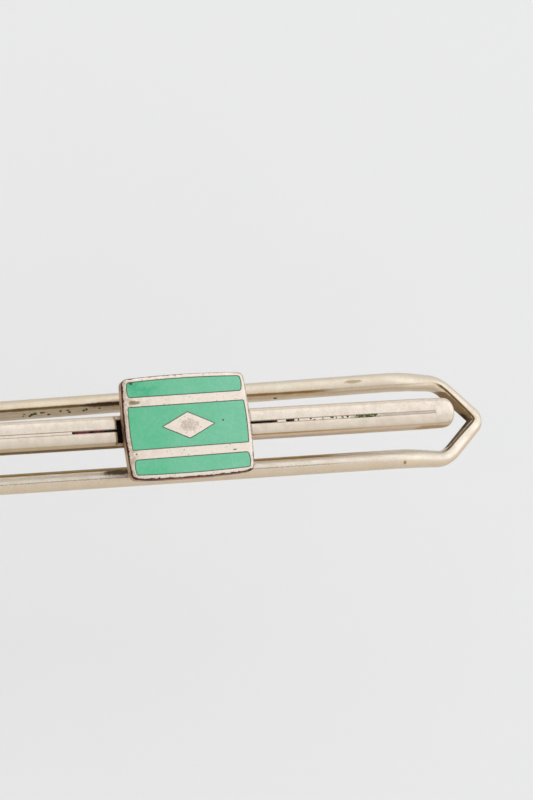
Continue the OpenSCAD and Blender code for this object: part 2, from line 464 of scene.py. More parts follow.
class Sweep:
    """A node tree that sweeps a round wire, with the seam it was drawn with, along a path."""

    SIDES = 72
    SEAM_HALF = 0.12

    def __init__(self) -> None:
        """Build the tree once; each wire then sets its own values on it."""
        self.tree = bpy.data.node_groups.new("swept_wire", "GeometryNodeTree")
        face = self.tree.interface
        face.new_socket("Path", in_out="INPUT", socket_type="NodeSocketGeometry")
        self.seam = face.new_socket("Seam Depth", in_out="INPUT", socket_type="NodeSocketFloat")
        self.coat = face.new_socket("Finish", in_out="INPUT", socket_type="NodeSocketMaterial")
        face.new_socket("Wire", in_out="OUTPUT", socket_type="NodeSocketGeometry")
        w = Wires(self.tree)

        def named(key: str, kind: str) -> bpy.types.NodeSocket:
            """Read one of the path's own values."""
            node = w.node("GeometryNodeInputNamedAttribute", data_type=kind)
            node.inputs["Name"].default_value = key
            return node.outputs["Attribute"]

        given = w.node("NodeGroupInput").outputs
        curve = w.step("GeometryNodeMeshToCurve", {"Mesh": given["Path"]})
        curve = w.step("GeometryNodeSetCurveNormal",
                       {"Curve": curve, "Normal": named("seam_side", "FLOAT_VECTOR")}, mode="FREE")
        circle = w.step("GeometryNodeCurvePrimitiveCircle",
                        {"Resolution": self.SIDES, "Radius": 1.0})
        spot = w.step("GeometryNodeInputPosition", {})
        across, up, _ = w.split(spot)
        circle = w.step("GeometryNodeStoreNamedAttribute", {
            "Name": "around", "Geometry": circle, "Value": w.math("ARCTAN2", up, across)})
        off = w.math("ABSOLUTE", named("around", "FLOAT"))
        notch = w.step("ShaderNodeMapRange", {
            "Value": off, "From Min": 0.0, "From Max": self.SEAM_HALF,
            "To Min": given["Seam Depth"], "To Max": 0.0})
        inward = w.step("ShaderNodeVectorMath",
                        {"Vector": spot, "Scale": w.times(notch, -1.0)}, operation="SCALE")
        profile = w.step("GeometryNodeSetPosition", {"Geometry": circle, "Offset": inward})
        tube = w.step("GeometryNodeCurveToMesh", {
            "Curve": curve, "Profile Curve": profile, "Fill Caps": True,
            "Scale": named("wire_radius", "FLOAT")})
        tube = w.step("GeometryNodeStoreNamedAttribute", {
            "Name": "rest_normal", "Geometry": tube,
            "Value": w.step("GeometryNodeInputNormal", {})}, data_type="FLOAT_VECTOR")
        tube = w.step("GeometryNodeSetShadeSmooth", {"Geometry": tube})
        w.close(tube, given["Finish"], "Wire")

    def run(self, name: str, origin: Origin, strands: Sequence["Strand"], depth: float,
            finish: bpy.types.Material) -> bpy.types.Object:
        """Sweep some strands into one plain mesh.

        Args:
            name: The name that the object gets.
            origin: Where the strands' millimetres are counted from.
            strands: The paths to sweep.
            depth: Depth of the seam as a share of the wire's radius.
            finish: The material.

        Returns:
            The object, with no modifier left on it.
        """
        path = bpy.data.meshes.new(name + "_path")
        spots, edges, radii, sides = [], [], [], []
        for strand in strands:
            first = len(spots)
            spots += [origin.place(p) for p in strand.points]
            edges += [(first + k, first + k + 1) for k in range(len(strand.points) - 1)]
            radii += [MM * r for r in strand.radii]
            sides += [n for side in strand.sides for n in side]
        path.from_pydata(spots, edges, [])
        path.attributes.new("wire_radius", "FLOAT", "POINT").data.foreach_set("value", radii)
        path.attributes.new("seam_side", "FLOAT_VECTOR", "POINT").data.foreach_set("vector", sides)
        made = apply_tree(name, path, self.tree,
                          {self.seam.identifier: depth, self.coat.identifier: finish})
        settle(made.data, 50)
        return made


def apply_tree(name: str, start: bpy.types.Mesh, tree: bpy.types.NodeTree,
               inputs: dict[str, object]) -> bpy.types.Object:
    """Run a node tree on a mesh and keep only the plain result.

    Args:
        name: The name that the object gets.
        start: The mesh that goes into the tree.
        tree: The node tree.
        inputs: Its values, by the sockets' identifiers.

    Returns:
        A new object with the result as its mesh.
    """
    worker = show(name + "_work", start)
    modifier = worker.modifiers.new("tree", "NODES")
    modifier.node_group = tree
    for key, value in inputs.items():
        modifier[key] = value
    graph = bpy.context.evaluated_depsgraph_get()
    mesh = bpy.data.meshes.new_from_object(worker.evaluated_get(graph), depsgraph=graph)
    worker.modifiers.remove(modifier)
    bpy.data.objects.remove(worker)
    mesh.name = name
    return show(name, mesh)


class Crumbs:
    """A node tree that scatters small crusty grains over patches of surface."""

    def __init__(self) -> None:
        """Build the tree once; each crop of grains then sets its own values on it."""
        self.tree = bpy.data.node_groups.new("crumbs", "GeometryNodeTree")
        face = self.tree.interface
        face.new_socket("Patches", in_out="INPUT", socket_type="NodeSocketGeometry")
        self.density = face.new_socket("Density", in_out="INPUT", socket_type="NodeSocketFloat")
        self.size = face.new_socket("Grain Size", in_out="INPUT", socket_type="NodeSocketFloat")
        self.seed = face.new_socket("Seed", in_out="INPUT", socket_type="NodeSocketInt")
        self.coat = face.new_socket("Finish", in_out="INPUT", socket_type="NodeSocketMaterial")
        face.new_socket("Grains", in_out="OUTPUT", socket_type="NodeSocketGeometry")
        w = Wires(self.tree)
        given = w.node("NodeGroupInput").outputs
        scatter = w.node("GeometryNodeDistributePointsOnFaces")
        for one, two in (("Patches", "Mesh"), ("Density", "Density"), ("Seed", "Seed")):
            w.put(given[one], scatter.inputs[two])
        grain = w.step("GeometryNodeMeshIcoSphere",
                       {"Subdivisions": 2, "Radius": given["Grain Size"]})
        scale = w.step("FunctionNodeRandomValue", {
            0: (0.5, 0.35, 0.25), 1: (1.5, 0.9, 0.5), "Seed": given["Seed"]},
            data_type="FLOAT_VECTOR")
        spread = w.step("GeometryNodeInstanceOnPoints", {
            "Points": scatter.outputs["Points"], "Instance": grain,
            "Rotation": scatter.outputs["Rotation"], "Scale": scale})
        w.close(spread, given["Finish"], "Grains")

    def run(self, name: str, origin: Origin, patches: Sequence[Sequence[Sequence[float]]],
            density: float, size: float, seed: int, finish: bpy.types.Material) -> bpy.types.Object:
        """Scatter grains over some patches.

        Args:
            name: The name that the object gets.
            origin: Where the patches' millimetres are counted from.
            patches: Four corners for each patch.
            density: Grains on a square millimetre.
            size: Radius of a grain, in millimetres.
            seed: Seed of the scatter.
            finish: The material.

        Returns:
            The grains as one mesh object.
        """
        start = bpy.data.meshes.new(name + "_patches")
        corners = [origin.place(p) for patch in patches for p in patch]
        start.from_pydata(corners, [], [tuple(range(4 * k, 4 * k + 4)) for k in range(len(patches))])
        return apply_tree(name, start, self.tree, {
            self.density.identifier: density / MM ** 2,
            self.size.identifier: size * MM,
            self.seed.identifier: seed,
            self.coat.identifier: finish,
        })


# ------------------------------------------------------------------------ materials


class Effects:
    """The surface effects that several finishes share, each a node group built once."""

    def __init__(self) -> None:
        """Build the four groups."""
        self.worn = self._worn_metal()
        self.stain = self._stain()
        self.line = self._line()
        self.specks = self._specks()

    @staticmethod
    def _start(name: str, inputs: dict[str, str], outputs: dict[str, str]
               ) -> tuple[Wires, bpy.types.NodeOutputs, bpy.types.NodeInputs]:
        """Open a group with its named sockets.

        Args:
            name: The group's name.
            inputs: Kind of each input, by name.
            outputs: Kind of each output, by name.

        Returns:
            Its wires, what it is given, and what it gives out.
        """
        tree = bpy.data.node_groups.new(name, "ShaderNodeTree")
        for side, sockets in (("INPUT", inputs), ("OUTPUT", outputs)):
            for key, kind in sockets.items():
                tree.interface.new_socket(key, in_out=side, socket_type="NodeSocket" + kind)
        wires = Wires(tree)
        given = wires.node("NodeGroupInput").outputs
        return wires, given, wires.node("NodeGroupOutput").inputs

    def _worn_metal(self) -> bpy.types.NodeTree:
        """Build soft handling wear: cloudy tone, fine pits and a height for the bump."""
        w, given, out = self._start(
            "worn_metal", {"Cloud Scale": "Float", "Pit Scale": "Float"},
            {"Cloud": "Float", "Speckle": "Float", "Pits": "Float", "Height": "Float"})
        place = w.place()
        cloud = w.grain(place, given["Cloud Scale"], 6.0, 0.62)
        fine = w.grain(place, given["Pit Scale"], 3.0, 0.7)
        w.put(w.ease(cloud, 0.32, 0.68), out["Cloud"])
        w.put(w.ease(fine, 0.36, 0.66), out["Speckle"])
        w.put(w.ease(fine, 0.60, 0.72), out["Pits"])
        w.put(w.math("MULTIPLY_ADD", cloud, 0.5, fine), out["Height"])
        return w.tree

    def _stain(self) -> bpy.types.NodeTree:
        """Build one ragged stain: an oval round a place, with a broken edge."""
        w, given, out = self._start(
            "stain", {"Centre": "Vector", "Reach": "Vector", "Ragged": "Float", "Scale": "Float"},
            {"Mask": "Float"})
        place = w.place()
        away = w.node("ShaderNodeVectorMath", operation="SUBTRACT")
        w.put(place, away.inputs[0])
        w.put(given["Centre"], away.inputs[1])
        share = w.node("ShaderNodeVectorMath", operation="DIVIDE")
        w.put(away.outputs[0], share.inputs[0])
        w.put(given["Reach"], share.inputs[1])
        length = w.node("ShaderNodeVectorMath", operation="LENGTH")
        w.put(share.outputs[0], length.inputs[0])
        rough = w.math("SUBTRACT", w.grain(place, given["Scale"], 4.0, 0.65), 0.5)
        edge = w.math("MULTIPLY_ADD", rough, given["Ragged"], length.outputs["Value"])
        w.put(w.ease(edge, 1.0, 0.55), out["Mask"])
        return w.tree

    def _line(self) -> bpy.types.NodeTree:
        """Build a thin line where a number has one value, broken up along its length."""
        w, given, out = self._start(
            "line", {"Value": "Float", "At": "Float", "Half Width": "Float", "Broken": "Float",
                     "Scale": "Float"}, {"Mask": "Float"})
        off = w.math("ABSOLUTE", w.math("SUBTRACT", given["Value"], given["At"]))
        share = w.math("DIVIDE", off, given["Half Width"])
        rough = w.math("SUBTRACT", w.grain(w.place(), given["Scale"], 5.0, 0.7), 0.42)
        edge = w.math("MULTIPLY_ADD", rough, given["Broken"], share)
        w.put(w.ease(edge, 1.0, 0.35), out["Mask"])
        return w.tree

    def _specks(self) -> bpy.types.NodeTree:
        """Build scattered dark specks of dirt."""
        w, given, out = self._start(
            "specks", {"Scale": "Float", "Amount": "Float"}, {"Mask": "Float"})
        place = w.place()
        cells = w.node("ShaderNodeTexVoronoi")
        w.put(place, cells.inputs["Vector"])
        w.put(given["Scale"], cells.inputs["Scale"])
        size = w.times(w.split(cells.outputs["Color"])[0], given["Amount"])
        dot = w.math("SUBTRACT", size, cells.outputs["Distance"])
        w.put(w.ease(dot, 0.0, 0.08), out["Mask"])
        return w.tree


class Finish:
    """A material in the making, with its Principled shader ready."""

    def __init__(self, name: str, effects: Effects, metallic: float) -> None:
        """Start a material.

        Args:
            name: The material's name.
            effects: The shared effect groups.
            metallic: 1 for bare metal, 0 for glass, dirt and paper.
        """
        self.material = bpy.data.materials.new(name)
        self.material.use_nodes = True
        self.effects = effects
        self.w = Wires(self.material.node_tree)
        self.shader = self.material.node_tree.nodes["Principled BSDF"]
        self.shader.inputs["Metallic"].default_value = metallic

    def stain(self, origin: Origin, centre: Sequence[float], reach: Sequence[float],
              ragged: float = 0.9, scale: float = 4000.0) -> bpy.types.NodeSocket:
        """Mask one stain, given in millimetres from the plaque's middle."""
        return self.w.group(self.effects.stain, Centre=tuple(origin.place(centre)),
                            Reach=tuple(MM * Vector(reach)), Ragged=ragged, Scale=scale)["Mask"]

    def line(self, value: object, at: float, half: float, broken: float, scale: float
             ) -> bpy.types.NodeSocket:
        """Mask a broken line where a number has one value."""
        return self.w.group(self.effects.line, Value=value, At=at, Half_Width=half,
                            Broken=broken, Scale=scale)["Mask"]

    def finish(self, colour: object, roughness: object, height: object = None,
               depth: float = 0.0, dirt_and_shade: object = None) -> bpy.types.Material:
        """Join the surface to the shader.

        Args:
            colour: Base colour.
            roughness: Roughness.
            height: Height for the bump, if there is one.
            depth: What a height of 1 stands for, in metres.
            dirt_and_shade: Where dirt and painted shade dull the metal, if there is any.

        Returns:
            The finished material.
        """
        if dirt_and_shade is not None:
            self.w.put(self.w.ease(dirt_and_shade, 0.1, 0.9, 1.0, 0.1), self.shader.inputs["Metallic"])
            self.shader.inputs["Specular IOR Level"].default_value = 0.15
            roughness = self.w.math("MULTIPLY_ADD", dirt_and_shade, 0.25, roughness)
        self.w.put(colour, self.shader.inputs["Base Color"])
        self.w.put(roughness, self.shader.inputs["Roughness"])
        if height is not None:
            bump = self.w.node("ShaderNodeBump")
            bump.inputs["Strength"].default_value = 1.0
            bump.inputs["Distance"].default_value = depth
            self.w.put(height, bump.inputs["Height"])
            self.w.put(bump.outputs["Normal"], self.shader.inputs["Normal"])
        return self.material


@dataclass(frozen=True)
class BarPlate:
    """Soft silver plate on the front bar, with painted shade: darker on the lower lobe, tan along its
    sides and near black in the slit.
    """

    bright: Colour = (0.79, 0.72, 0.635)
    cloudy: Colour = (0.70, 0.62, 0.525)
    shade: Colour = (0.55, 0.47, 0.38)
    pink: Colour = (0.64, 0.49, 0.36)
    tan: Colour = (0.50, 0.37, 0.23)
    grey: Colour = (0.44, 0.385, 0.32)
    umber: Colour = (0.30, 0.20, 0.10)
    gold: Colour = (0.40, 0.26, 0.10)
    brown: Colour = (0.19, 0.115, 0.045)
    near_black: Colour = (0.012, 0.008, 0.007)
    maroon: Colour = (0.34, 0.07, 0.075)
    moss: Colour = (0.17, 0.17, 0.055)
    roughness: float = 0.46

    def make(self, origin: Origin, effects: Effects) -> bpy.types.Material:
        """Build the material.

        Args:
            origin: Where the stains' places are counted from.
            effects: The shared effect groups.

        Returns:
            The material.
        """
        f = Finish("bar_plate", effects, 1.0)
        w = f.w
        worn = w.group(effects.worn, Cloud_Scale=900.0, Pit_Scale=9000.0)
        x, across, _ = w.split(w.place())
        along = w.math("SUBTRACT", x, origin.centre.x)
        colour = w.mix(w.times(worn["Cloud"], 0.6), self.bright, self.cloudy)
        colour = w.over(colour, self.shade, worn["Speckle"], 0.4)
        colour = w.over(colour, self.tan, worn["Pits"], 0.4)
        left = w.ease(along, -0.002, -0.007)
        low = w.ease(across, 0.0001, -0.0006)
        # Painted shade: the lower lobe is darkened towards the shade colour.
        colour = w.over(colour, self.shade, low, 0.55)
        # Painted shade and reflection: the flanks take a pink tint (tan left of the plaque), lightly
        # on the upper lobe and strongly on the lower.
        side = w.mix(left, self.pink, self.tan)
        flank = w.times(w.value("flank"), w.ease(low, 0.0, 1.0, 0.25, 0.85))
        colour = w.mix(flank, colour, side)
        # Partly tarnish and partly painted shade: a gold line in the crease and, left of the plaque, a
        # brown line along the hem, both strong on the lower lobe and faint on the upper.
        low = w.ease(across, 0.0001, -0.0006, 0.1, 1.0)
        line = f.line(w.value("crease"), 1.0, 1.0, 0.5, 1500.0)
        dirt_and_shade = w.times(w.ease(along, 0.0215, 0.0105, 0.35, 0.95),
                      w.ease(along, -0.007, -0.002, 0.2, 1.0))
        colour = w.over(colour, self.gold, line, w.times(dirt_and_shade, low))
        line = f.line(w.value("hem"), 1.0, 0.9, 0.4, 1200.0)
        dirt_and_shade = w.times(left, low)
        colour = w.over(colour, self.brown, line, dirt_and_shade)
        cut = w.times(w.value("cut"), w.times(left, 0.8))
        colour = w.mix(cut, colour, self.gold)
        # Painted shade: past about 20 mm the groove's floor turns grey, standing in for its shadow.
        end = w.ease(along, 0.0197, 0.0206)
        colour = w.over(colour, self.grey, w.value("bed"), w.times(end, 0.8))
        seam = w.times(w.value("seam"), w.ease(along, -0.001, 0.001, 0.42, 0.65))
        seam = w.times(seam, w.math("SUBTRACT", 1.0, end))
        colour = w.mix(seam, colour, self.umber)
        green = f.stain(origin, (18.6, 0.0, -0.9), (1.7, 0.2, 0.6), 2.0, 4000.0)
        green = w.times(green, 0.75)
        colour = w.mix(green, colour, self.moss)
        ochre = f.stain(origin, (25.8, -1.45, -1.4), (2.4, 0.30, 0.7), 0.8, 2000.0)
        colour = w.over(colour, self.gold, ochre, 0.8)
        # Painted shade: the slit and the trough behind the plaque are near black close to the plaque
        # and mottled with maroon farther out.
        red = w.ease(w.grain(w.place(), 1300.0, 2.0, 0.5), 0.42, 0.58)
        pit = w.mix(red, self.near_black, self.maroon)
        near = w.ease(w.math("ABSOLUTE", along), 0.0075, 0.0088)
        colour = w.mix(w.value("pit"), colour, w.mix(near, self.near_black, pit))
        # The dulled mask holds the painted shade in the slit as well as the seam and the verdigris.
        dirt_and_shade = w.most(w.value("pit"), w.most(seam, green))
        rough = w.ease(worn["Cloud"], 0.0, 1.0, self.roughness - 0.05, self.roughness + 0.1)
        return f.finish(colour, rough, worn["Height"], METAL_BUMP, dirt_and_shade)


@dataclass(frozen=True)
class WirePlate:
    """Silver plate on the wire, light above and tan below as painted reflection, with a dark line
    along its seam that is partly its joint and partly painted reflection.
    """

    bright: Colour = (0.71, 0.645, 0.545)
    warm: Colour = (0.69, 0.60, 0.48)
    pale: Colour = (0.77, 0.72, 0.64)
    tan: Colour = (0.72, 0.585, 0.435)
    dusky: Colour = (0.57, 0.455, 0.325)
    drab: Colour = (0.46, 0.36, 0.23)
    ochre: Colour = (0.33, 0.19, 0.055)
    amber: Colour = (0.21, 0.125, 0.055)
    umber: Colour = (0.15, 0.09, 0.035)
    brown: Colour = (0.10, 0.060, 0.022)
    black: Colour = (0.048, 0.027, 0.008)
    olive: Colour = (0.25, 0.18, 0.075)
    grey: Colour = (0.30, 0.27, 0.23)
    roughness: float = 0.44

    def make(self, origin: Origin, effects: Effects) -> bpy.types.Material:
        """Build the material.

        Args:
            origin: Where the stains' places are counted from.
            effects: The shared effect groups.

        Returns:
            The material.
        """
        f = Finish("wire_plate", effects, 1.0)
        w = f.w
        worn = w.group(effects.worn, Cloud_Scale=700.0, Pit_Scale=8000.0)
        x, y, _ = w.split(w.place())
        along = w.math("SUBTRACT", x, origin.centre.x)
        facing = w.node("ShaderNodeAttribute", attribute_name="rest_normal").outputs["Vector"]
        inward, upward, _ = w.split(facing)
        upper = w.ease(y, -0.0004, 0.0004)
        lower = w.math("SUBTRACT", 1.0, upper)
        right = w.ease(along, 0.0278, 0.0292)
        left = w.ease(along, 0.0, -0.0062)
        # Painted reflection: where the wire faces down it turns tan (dusky on the upper rail left of
        # the plaque), as if mirroring a darker floor; on the upper rail the edge of it shifts along
        # the bar.
        drift = w.times(w.ease(along, -0.012, 0.018, 0.0, 0.34),
                       w.times(upper, w.ease(along, 0.028, 0.024)))
        below = w.ease(w.math("ADD", upward, drift), -0.12, -0.34)
        clean = w.mix(upper, self.pale, w.mix(left, self.bright, self.warm))
        colour = w.mix(w.times(worn["Cloud"], 0.25), clean, self.tan)
        side = w.mix(w.times(upper, left), self.tan, self.dusky)
        colour = w.mix(w.times(below, 0.85), colour, side)
        colour = w.over(colour, self.drab, worn["Speckle"], 0.22)
        colour = w.over(colour, self.drab, worn["Pits"], 0.3)
        # Painted reflection: an ochre band, olive left of the plaque, along the upward-facing top of
        # the lower rail, where the bar's shaded underside would mirror.
        above = w.times(w.ease(upward, 0.66, 0.78), lower)
        above = w.times(above, w.ease(along, 0.022, 0.016, 0.1, 0.85))
        colour = w.mix(above, colour, w.mix(left, self.ochre, self.olive))
        # Painted shade: a dotted grey line on the lower rail where its lit upper half meets its shaded
        # lower half.
        dots = f.line(upward, -0.17, 0.10, 2.6, 6000.0)
        dots = w.times(dots, w.times(lower, w.ease(along, 0.022, 0.012)))
        colour = w.over(colour, self.grey, dots, 0.8)
        # Painted shade: at the point, the faces turned back along the bar, away from the light on the
        # right, go amber on the upper side and brown on the lower.
        edge = w.math("MULTIPLY_ADD", lower, 0.30, inward)
        ragged = w.math("MULTIPLY_ADD", w.grain(w.place(), 1800.0), 0.3, edge)
        inner = w.times(w.ease(ragged, 0.06, -0.04), right)
        colour = w.mix(w.times(inner, 0.95), colour, w.mix(upper, self.brown, self.amber))
        # Partly the wire's seam and partly painted reflection of the bar and plaque: a dark line along
        # the seam, umber on the upper rail left of the plaque and at the point, ochre elsewhere, and
        # gone from about 17 mm to the point.
        core = w.times(left, upper)
        seam = f.line(w.value("around"), 0.0, 0.24, 0.8, 900.0)
        fade = w.most(w.ease(along, 0.0175, 0.0140), right)
        line = w.mix(w.most(core, right), self.ochre, self.umber)
        seam = w.times(seam, fade)
        colour = w.mix(seam, colour, line)
        # Painted shade: the inner corner of the point goes black on its inward faces.
        crotch = f.stain(origin, (31.4, -0.2, -6.6), (1.0, 1.0, 1.2), 0.5, 2000.0)
        crotch = w.times(crotch, w.ease(inward, -0.1, -0.5))
        colour = w.mix(crotch, colour, self.black)
        # The dulled mask holds the point's painted shade and the seam's line as well as the stains.
        dirt_and_shade = w.most(w.most(inner, crotch), w.times(seam, right))
        # The first two black patches, on the rails beside the plaque's left edge, are painted shadow
        # and reflection of the plaque; the others are stains.
        for centre, reach, shade in (
                ((-6.7, 3.26, -4.6), (3.0, 0.27, 1.5), self.black),
                ((-6.2, -3.5, -4.5), (2.0, 0.33, 1.5), self.black),
                ((18.6, 3.9, -3.0), (1.1, 0.22, 0.8), self.drab),
                ((23.1, -4.6, -3.1), (0.22, 0.22, 0.6), self.ochre),
                ((-15.5, -2.3, -4.9), (9.0, 0.16, 0.8), self.olive)):
            mask = f.stain(origin, centre, reach, 1.0, 2600.0)
            mask = w.times(mask, 0.92)
            colour = w.mix(mask, colour, shade)
            dirt_and_shade = w.most(dirt_and_shade, mask)
        rough = w.ease(worn["Cloud"], 0.0, 1.0, self.roughness - 0.04, self.roughness + 0.1)
        return f.finish(colour, rough, worn["Height"], METAL_BUMP, dirt_and_shade)


@dataclass(frozen=True)
class PlaquePlate:
    """Pinkish silver on the plaque's face, red-brown where it wore off the walls."""

    bright: Colour = (0.79, 0.71, 0.63)
    cloudy: Colour = (0.64, 0.555, 0.47)
    copper: Colour = (0.42, 0.19, 0.08)
    salmon: Colour = (0.60, 0.44, 0.29)
    olive: Colour = (0.20, 0.13, 0.04)
    drab: Colour = (0.40, 0.31, 0.20)
    rust: Colour = (0.085, 0.020, 0.006)
    near_black: Colour = (0.02, 0.010, 0.008)
    grey: Colour = (0.50, 0.42, 0.36)
    roughness: float = 0.40

    def make(self, origin: Origin, effects: Effects) -> bpy.types.Material:
        """Build the material.

        Args:
            origin: Where the stains' places are counted from.
            effects: The shared effect groups.

        Returns:
            The material.
        """
        f = Finish("plaque_plate", effects, 1.0)
        w = f.w
        worn = w.group(effects.worn, Cloud_Scale=1400.0, Pit_Scale=11000.0)
        x, across, z = w.split(w.place())
        along = w.math("SUBTRACT", x, origin.centre.x)
        deep = w.math("SUBTRACT", origin.centre.z, z)
        left = w.ease(along, 0.002, -0.0065, 0.1, 0.75)
        colour = w.mix(w.times(worn["Cloud"], left), self.bright, self.cloudy)
        colour = w.over(colour, self.cloudy, worn["Speckle"], 0.3)
        colour = w.over(colour, self.copper, worn["Pits"], 0.45)
        specks = w.group(effects.specks, Scale=2600.0, Amount=0.24)["Mask"]
        colour = w.over(colour, self.rust, specks, 0.5)
        ragged = w.times(w.math("SUBTRACT", w.grain(w.place(), 2600.0), 0.5), 0.0003)
        edge = w.math("ADD", deep, ragged)
        worn_out = w.ease(w.math("MULTIPLY_ADD", along, -1.0, w.times(across, -1.4)),
                          -0.010, -0.003, 0.45, 1.0)
        worn_out = w.most(worn_out, w.ease(across, -0.0043, -0.0048))
        outline = w.times(w.ease(edge, 0.00004, 0.00008), worn_out)
        colour = w.mix(outline, colour, self.rust)
        patchy = w.ease(w.grain(w.place(), 700.0, 3.0), 0.42, 0.58)
        beside = w.times(w.ease(along, -0.0050, -0.0056), w.ease(patchy, 0.0, 1.0, 0.5, 1.0))
        wall = w.mix(beside, w.mix(patchy, self.rust, self.copper), self.salmon)
        fringe = f.line(deep, 0.00002, 0.000018, 1.4, 3200.0)
        fringe = w.times(fringe, w.ease(along, 0.0045, 0.0058, 0.0, 0.7))
        colour = w.mix(fringe, colour, self.rust)
        bare = w.ease(edge, 0.00034, 0.00044)
        colour = w.mix(bare, colour, wall)
        dirt_and_shade = w.times(outline, w.ease(bare, 0.0, 1.0, 1.0, 0.4))
        tarnish = w.times(w.ease(along, -0.0049, -0.0058),
                         w.ease(w.grain(w.place(), 2200.0, 4.0, 0.7), 0.36, 0.60, 0.15, 0.75))
        tarnish = w.times(tarnish, w.ease(edge, 0.00004, 0.0))
        colour = w.mix(tarnish, colour, self.drab)
        ledge = f.line(w.value("ledge"), 0.0, 0.065, 1.1, 3200.0)
        colour = w.over(colour, self.rust, ledge, 0.75)
        smudge = f.stain(origin, (0.0, 0.0, 0.0), (1.2, 0.7, 1.0), 1.6, 3200.0)
        hatch = w.ease(w.grain(w.place(), 9000.0, 2.0), 0.38, 0.58, 0.25, 1.0)
        colour = w.over(colour, self.grey, smudge, hatch)
        for centre, reach, shade in (
                ((-5.2, 2.45, 0.0), (0.75, 0.24, 1.0), self.olive),
                ((5.75, -4.75, -0.1), (0.35, 0.22, 0.5), self.near_black),
                ((4.4, -2.65, 0.0), (0.25, 0.10, 1.0), self.near_black)):
            mask = w.times(f.stain(origin, centre, reach, 1.3, 3000.0), 0.8)
            colour = w.mix(mask, colour, shade)
            dirt_and_shade = w.most(dirt_and_shade, mask)
        rough = w.ease(worn["Cloud"], 0.0, 1.0, self.roughness - 0.06, self.roughness + 0.1)
        return f.finish(colour, rough, worn["Height"], METAL_BUMP, dirt_and_shade)


@dataclass(frozen=True)
class JadeEnamel:
    """Opaque jade enamel, gently glossy, darker and bluer where it thins at its edge."""

    jade: Colour = (0.085, 0.465, 0.24)
    pale: Colour = (0.20, 0.55, 0.365)
    teal: Colour = (0.03, 0.37, 0.20)
    dark: Colour = (0.015, 0.085, 0.04)
    pit: Colour = (0.01, 0.06, 0.03)

    def make(self, origin: Origin, effects: Effects) -> bpy.types.Material:
        """Build the material.

        Args:
            origin: Where the stains' places are counted from.
            effects: The shared effect groups.

        Returns:
            The material.
        """
        f = Finish("jade_enamel", effects, 0.0)
        w = f.w
        cloud = w.ease(w.grain(w.place(), 260.0, 5.0, 0.6), 0.35, 0.68)
        fine = w.ease(w.grain(w.place(), 2600.0, 3.0, 0.6), 0.40, 0.66)
        x, _, _ = w.split(w.place())
        # Painted light: on top of its random tone, the enamel turns paler towards the right, the side
        # the light comes from.
        right = w.ease(w.math("SUBTRACT", x, origin.centre.x), -0.0055, 0.0055)
        tone = w.math("MULTIPLY_ADD", fine, 0.15, w.times(cloud, 0.35))
        colour = w.mix(w.math("MULTIPLY_ADD", right, 0.5, tone), self.jade, self.pale)
        blot = w.ease(w.grain(w.place(), 1500.0, 3.0, 0.55), 0.44, 0.60)
        patch = f.stain(origin, (-4.6, 3.75, 0.0), (2.3, 1.0, 1.0), 0.9, 900.0)
        colour = w.over(colour, self.teal, w.times(blot, patch), 0.6)
        specks = w.group(effects.specks, Scale=900.0, Amount=0.10)["Mask"]
        colour = w.over(colour, self.dark, specks, 0.6)
        for centre, reach in (((3.5, 0.3, 0.0), (0.11, 0.11, 1.0)),
                              ((-5.35, 4.35, 0.0), (0.25, 0.2, 1.0))):
            colour = w.mix(f.stain(origin, centre, reach, 0.6, 4000.0), colour, self.pit)
        edge = f.line(w.value("edge"), 0.0, 0.085, 0.45, 2400.0)
        colour = w.over(colour, self.dark, edge, 0.9)
        f.shader.inputs["IOR"].default_value = 1.5
        rough = w.ease(fine, 0.0, 1.0, 0.24, 0.34)
        return f.finish(colour, rough, w.grain(w.place(), 1100.0, 2.0, 0.5), 0.00001)


@dataclass(frozen=True)
class DullSolder:
    """Grey tin solder, matt and lumpy."""

    grey: Colour = (0.42, 0.39, 0.35)
    dark: Colour = (0.17, 0.15, 0.13)

    def make(self, effects: Effects) -> bpy.types.Material:
        """Build the material from the shared effects."""
        f = Finish("dull_solder", effects, 1.0)
        worn = f.w.group(effects.worn, Cloud_Scale=1500.0, Pit_Scale=7000.0)
        colour = f.w.mix(worn["Cloud"], self.grey, self.dark)
        rough = f.w.ease(worn["Pits"], 0.0, 1.0, 0.45, 0.65)
        return f.finish(colour, rough, worn["Height"], 0.00002)


@dataclass(frozen=True)
class Verdigris:
    """Crusty green-black corrosion that sits in the seams."""

    green: Colour = (0.07, 0.12, 0.025)
    black: Colour = (0.010, 0.014, 0.006)

    def make(self, effects: Effects) -> bpy.types.Material:
        """Build the material from the shared effects."""
        f = Finish("verdigris", effects, 0.0)
        mottle = f.w.ease(f.w.grain(f.w.place(), 5000.0, 3.0), 0.38, 0.6)
        colour = f.w.mix(mottle, self.black, self.green)
        rough = f.w.ease(mottle, 0.0, 1.0, 0.7, 0.95)
        return f.finish(colour, rough, f.w.grain(f.w.place(), 16000.0, 2.0), 0.00002)


@dataclass(frozen=True)
class PalePaper:
    """The plain pale paper that the object is shown over."""

    white: Colour = (0.80, 0.805, 0.803)
    shade: Colour = (0.785, 0.79, 0.79)

    def make(self, effects: Effects) -> bpy.types.Material:
        """Build the material from the shared effects."""
        f = Finish("pale_paper", effects, 0.0)
        fibre = f.w.grain(f.w.place(), 60.0, 3.0)
        f.shader.inputs["Specular IOR Level"].default_value = 0.1
        return f.finish(f.w.mix(fibre, self.white, self.shade), f.w.ease(fibre, 0.0, 1.0, 0.85, 0.95))


# --------------------------------------------------------------------- the front bar


